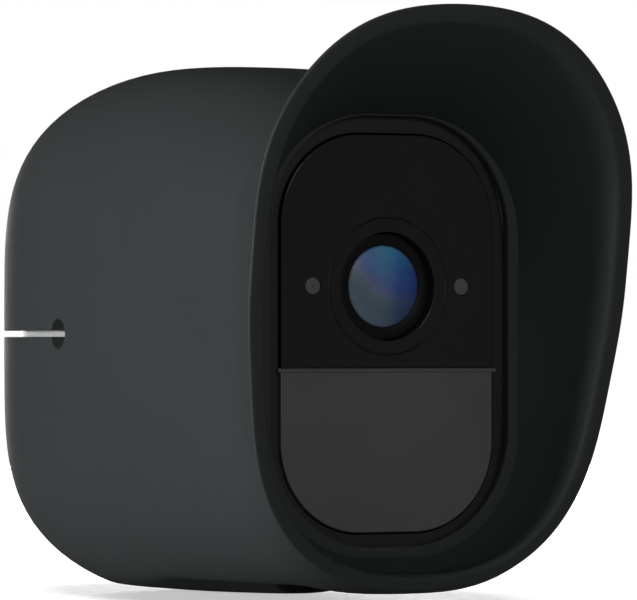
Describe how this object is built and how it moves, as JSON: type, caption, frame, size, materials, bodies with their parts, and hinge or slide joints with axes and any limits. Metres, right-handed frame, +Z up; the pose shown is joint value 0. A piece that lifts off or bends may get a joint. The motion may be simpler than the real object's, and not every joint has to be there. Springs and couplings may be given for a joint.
{
  "type": "security camera",
  "caption": "Wire-free security camera in a matte silicone sleeve with a flared visor hood; flat window with lens and motion sensor, threaded base socket and magnetic rear dish.",
  "frame": {"origin": "centre of the bounding box in plan, on the flat underside that it stands on", "axes": "-Y is the way the lens looks, +X to the right seen from the front, +Z up"},
  "size_m": [0.06, 0.0984, 0.0809],
  "materials": {
    "silicone": "fine matte moulded",
    "black_plastic": "satin moulded",
    "gloss_black": "polished",
    "sensor_grey": "satin translucent",
    "white_plastic": "polished moulded",
    "inner_plastic": "moulded",
    "lens_glass": "coated",
    "filter_glass": "coated",
    "port_grey": "satin",
    "circuit_board": "solder mask",
    "chip_black": "moulded epoxy",
    "led_package": "clear domes",
    "spring_steel": "bright",
    "plated_steel": "zinc plated",
    "tinned_metal": "tinned",
    "brass": "machined",
    "foam_rubber": "foam",
    "flex_film": "polyimide",
    "battery_wrap": "shrink wrap",
    "cone_paper": "pulp"
  },
  "bodies": {
    "camera": {"silicone_skin": "silicone", "front_bezel": "black_plastic", "lens_window": "gloss_black", "pir_window": "sensor_grey", "window_gasket": "foam_rubber", "mic_port": "port_grey", "light_port": "port_grey", "lens_trim_ring": "black_plastic", "lens_dome": "lens_glass", "lens_barrel": "inner_plastic", "lens_element_mid": "lens_glass", "lens_element_rear": "lens_glass", "lens_holder": "inner_plastic", "image_sensor": "chip_black", "sensor_board": "circuit_board", "sensor_screws": "plated_steel", "led_board": "circuit_board", "ir_leds": "led_package", "microphone": "tinned_metal", "light_sensor": "chip_black", "pir_baffle": "inner_plastic", "pir_sensor": "tinned_metal", "pir_board": "circuit_board", "speaker_frame": "inner_plastic", "speaker_cone": "cone_paper", "chassis": "inner_plastic", "board_standoffs": "brass", "main_board": "circuit_board", "m2_screws": "plated_steel", "rf_shield": "tinned_metal", "processor": "chip_black", "memory_chip": "chip_black", "wifi_antenna": "tinned_metal", "flex_cable": "flex_film", "usb_port": "tinned_metal", "usb_cover": "foam_rubber", "battery_contacts": "inner_plastic", "battery_pack": "battery_wrap", "main_housing": "white_plastic", "battery_door": "white_plastic", "front_gasket": "foam_rubber", "door_gasket": "foam_rubber", "magnet_plate": "plated_steel", "tripod_insert": "brass", "button_board": "circuit_board", "tact_switch": "chip_black", "latch_bracket": "inner_plastic", "latch_spring": "spring_steel"},
    "sync_button_body": {"sync_button": "white_plastic", "tact_plunger": "inner_plastic"},
    "battery_latch_body": {"battery_latch": "white_plastic"},
    "ir_cut_slider_body": {"ir_cut_slider": "inner_plastic", "ir_cut_glass": "filter_glass", "clear_glass": "filter_glass"}
  },
  "joints": [
    {"name": "sync_button_press", "type": "slide", "parent": "camera", "child": "sync_button_body", "axis": [0, 0, -1], "range_m": [0, 0.0006], "stiffness_N_per_m": 3000},
    {"name": "battery_latch_press", "type": "slide", "parent": "camera", "child": "battery_latch_body", "axis": [0, 0, 1], "range_m": [0, 0.0012], "stiffness_N_per_m": 1500, "deforming": ["latch_spring"]},
    {"name": "ir_cut_slide", "type": "slide", "parent": "camera", "child": "ir_cut_slider_body", "axis": [1, 0, 0], "range_m": [0, 0.0075]}
  ]
}
